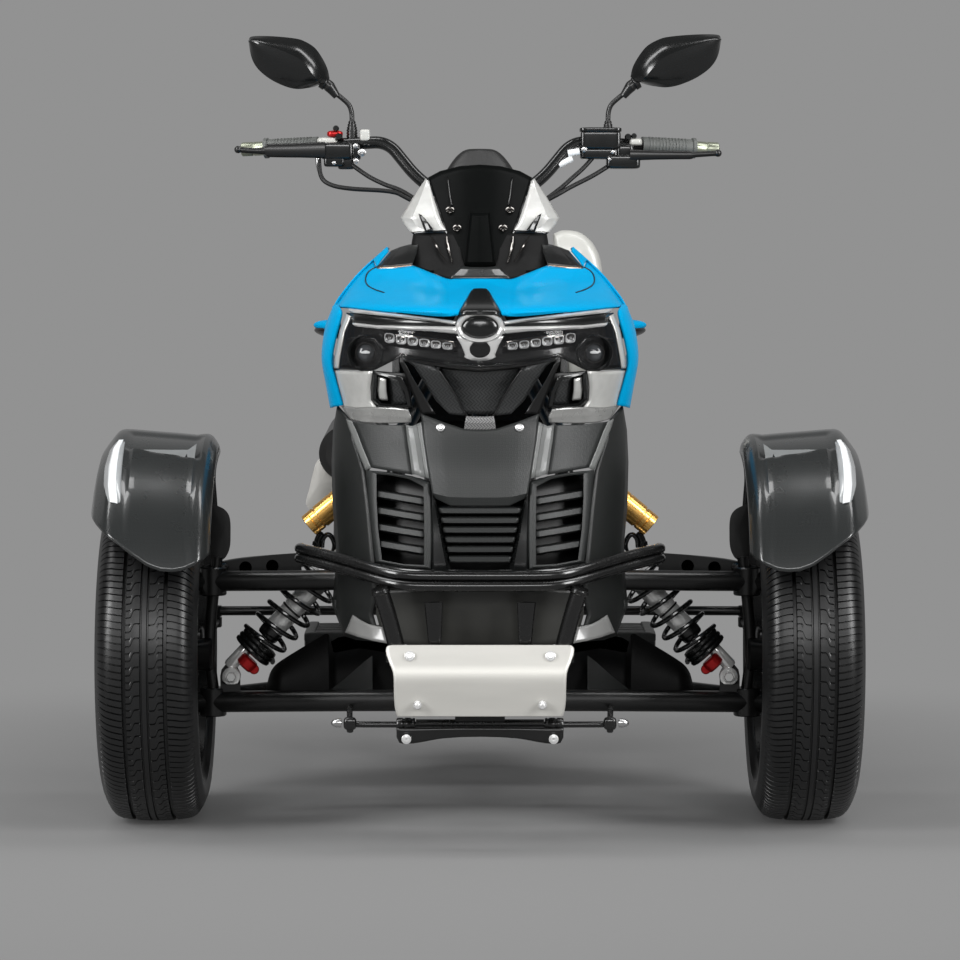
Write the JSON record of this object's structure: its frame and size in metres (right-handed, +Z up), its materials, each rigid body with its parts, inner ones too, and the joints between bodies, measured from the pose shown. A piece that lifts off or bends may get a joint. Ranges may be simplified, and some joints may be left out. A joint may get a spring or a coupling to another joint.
{
  "type": "motor trike",
  "caption": "Reverse motor trike with a pair of steered front wheels on wishbones, a blue nose fairing, handlebar steering, a stepped seat and a driven rear wheel.",
  "frame": {"origin": "on the ground, below the middle of the bounding box", "axes": "+Z up, the nose points to -Y, +X is the rider's left"},
  "size_m": [1.268, 2.3, 1.353],
  "materials": {
    "blue": "gloss",
    "black_gloss": "gloss",
    "clear": "clear",
    "smoked": "smoked",
    "chrome": "polished",
    "silver": "satin metallic",
    "frame_black": "satin black",
    "aluminium": "satin",
    "gold": "anodised gold",
    "rubber": "matt",
    "seat_cover": "grained",
    "lamp_red": "gloss",
    "exhaust_dark": "dark",
    "shield_grey": "satin",
    "chain_steel": "oiled",
    "rim_black": "gloss black",
    "tyre": "rubber"
  },
  "bodies": {
    "chassis": {"antiroll_bar": "frame_black", "backrest": "seat_cover", "bumper": "frame_black", "chain": "chain_steel", "cowl_wings": "silver", "damper_left": "aluminium", "damper_right": "aluminium", "dash_base": "black_gloss", "engine": "aluminium", "exhaust": "exhaust_dark", "fascia": "black_gloss", "footboard_left": "frame_black", "footboard_right": "frame_black", "frame_cradle": "frame_black", "frame_front": "frame_black", "frame_rear": "frame_black", "headlight_cover": "clear", "headlight_unit": "black_gloss", "heat_shield": "shield_grey", "hood": "blue", "lower_arm_left": "frame_black", "lower_arm_right": "frame_black", "nose_grille": "black_gloss", "nose_trim": "chrome", "rear_damper": "aluminium", "rear_fender": "black_gloss", "reservoir_left": "gold", "reservoir_right": "gold", "seat": "seat_cover", "side_pod": "shield_grey", "skid_plate": "aluminium", "spring_left": "frame_black", "spring_right": "frame_black", "swing_arm": "frame_black", "tail_cover": "black_gloss", "tail_lamp": "lamp_red", "tank_cover": "black_gloss", "upper_arm_left": "frame_black", "upper_arm_right": "frame_black", "windscreen": "smoked"},
    "steering": {"steering_column": "frame_black", "handlebar": "frame_black", "mirror_left": "black_gloss", "mirror_right": "black_gloss", "cables": "rubber"},
    "knuckle_left": {"knuckle_left": "frame_black", "fender_left": "black_gloss"},
    "knuckle_right": {"knuckle_right": "frame_black", "fender_right": "black_gloss"},
    "tie_rod_left": {"tie_rod_left": "frame_black"},
    "tie_rod_right": {"tie_rod_right": "frame_black"},
    "wheel_left": {"rim_left": "rim_black", "tyre_left": "tyre"},
    "wheel_right": {"rim_right": "rim_black", "tyre_right": "tyre"},
    "wheel_rear": {"rim_rear": "rim_black", "tyre_rear": "tyre"}
  },
  "joints": [
    {"name": "steering_turn", "type": "hinge", "parent": "chassis", "child": "steering", "pos_m": [0, -0.76, 0.337], "axis": [0, 0.42, 0.9075], "range_deg": [-28, 28]},
    {"name": "knuckle_left_turn", "type": "hinge", "parent": "chassis", "child": "knuckle_left", "pos_m": [0.44, -0.76, 0.281], "axis": [0, 0, 1], "range_deg": [-28, 28]},
    {"name": "tie_rod_left_turn", "type": "hinge", "parent": "knuckle_left", "child": "tie_rod_left", "pos_m": [0.456, -0.67, 0.346], "axis": [0, 0, 1], "range_deg": [-28, 28]},
    {"name": "wheel_left_spin", "type": "hinge", "parent": "knuckle_left", "child": "wheel_left", "pos_m": [0.545, -0.76, 0.281], "axis": [1, 0, 0], "continuous": true},
    {"name": "knuckle_right_turn", "type": "hinge", "parent": "chassis", "child": "knuckle_right", "pos_m": [-0.44, -0.76, 0.281], "axis": [0, 0, 1], "range_deg": [-28, 28]},
    {"name": "tie_rod_right_turn", "type": "hinge", "parent": "knuckle_right", "child": "tie_rod_right", "pos_m": [-0.456, -0.67, 0.346], "axis": [0, 0, 1], "range_deg": [-28, 28]},
    {"name": "wheel_right_spin", "type": "hinge", "parent": "knuckle_right", "child": "wheel_right", "pos_m": [-0.545, -0.76, 0.281], "axis": [1, 0, 0], "continuous": true},
    {"name": "wheel_rear_spin", "type": "hinge", "parent": "chassis", "child": "wheel_rear", "pos_m": [0, 0.857, 0.293], "axis": [1, 0, 0], "continuous": true}
  ],
  "couplings": [
    {"joint": "knuckle_left_turn", "follows": "steering_turn", "ratio": 1},
    {"joint": "tie_rod_left_turn", "follows": "steering_turn", "ratio": -1},
    {"joint": "knuckle_right_turn", "follows": "steering_turn", "ratio": 1},
    {"joint": "tie_rod_right_turn", "follows": "steering_turn", "ratio": -1}
  ]
}
